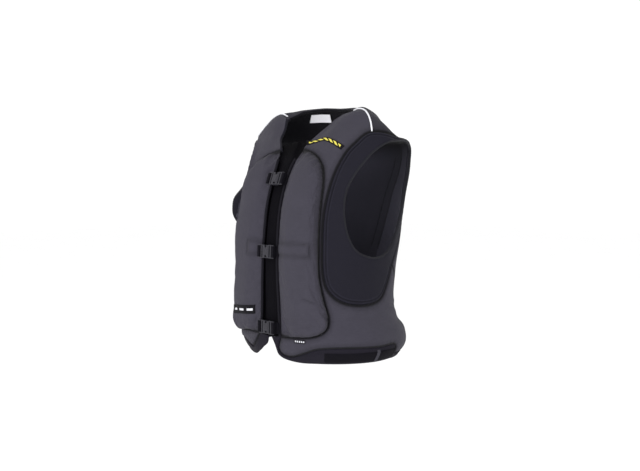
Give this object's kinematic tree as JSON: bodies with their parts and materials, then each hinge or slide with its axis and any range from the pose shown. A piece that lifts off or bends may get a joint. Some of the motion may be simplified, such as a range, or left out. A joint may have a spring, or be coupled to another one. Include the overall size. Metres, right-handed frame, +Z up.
{
  "type": "airbag vest",
  "caption": "Sleeveless over-jacket airbag vest with raised chest pads, black stretch sides, side-release front buckles and an elastic hem band.",
  "frame": {"origin": "midway between the shoulders, level with the top of the shoulder seams, where the vest sits on the wearer", "axes": "+Z up; the front faces -Y; the wearer's left is +X"},
  "size_m": [0.4342, 0.3636, 0.576],
  "materials": {
    "shell": "grey woven softshell",
    "stretch": "black stretch knit",
    "lining": "black mesh lining",
    "trim": "dark grey binding tape",
    "webbing": "black woven webbing",
    "buckle": "moulded grey plastic",
    "reflective": "white reflective piping",
    "label": "white woven label, blank"
  },
  "bodies": {
    "root": {"back_panel": "shell", "front_panel_left": "shell", "front_panel_right": "shell", "chest_pad_left": "shell", "chest_pad_right": "shell", "side_panel_left": "stretch", "side_panel_right": "stretch", "armhole_binding_left": "trim", "armhole_binding_right": "trim", "back_lining": "lining", "front_lining_left": "lining", "front_lining_right": "lining", "placket": "lining", "front_edge_binding_left": "trim", "front_edge_binding_right": "trim", "hem_band": "stretch", "shoulder_piping_left": "reflective", "shoulder_piping_right": "reflective", "waist_strap_left": "webbing", "waist_strap_right": "webbing", "strap_keeper_left": "trim", "strap_keeper_right": "trim", "buckle_socket_top": "buckle", "buckle_plug_top": "buckle", "buckle_strap_left_top": "webbing", "buckle_strap_right_top": "webbing", "buckle_socket_middle": "buckle", "buckle_plug_middle": "buckle", "buckle_strap_left_middle": "webbing", "buckle_strap_right_middle": "webbing", "buckle_socket_bottom": "buckle", "buckle_plug_bottom": "buckle", "buckle_strap_left_bottom": "webbing", "buckle_strap_right_bottom": "webbing", "neck_label": "label", "chest_badge": "webbing", "pad_badge": "webbing", "hem_tag": "label", "pull_tab": "webbing"}
  },
  "joints": []
}
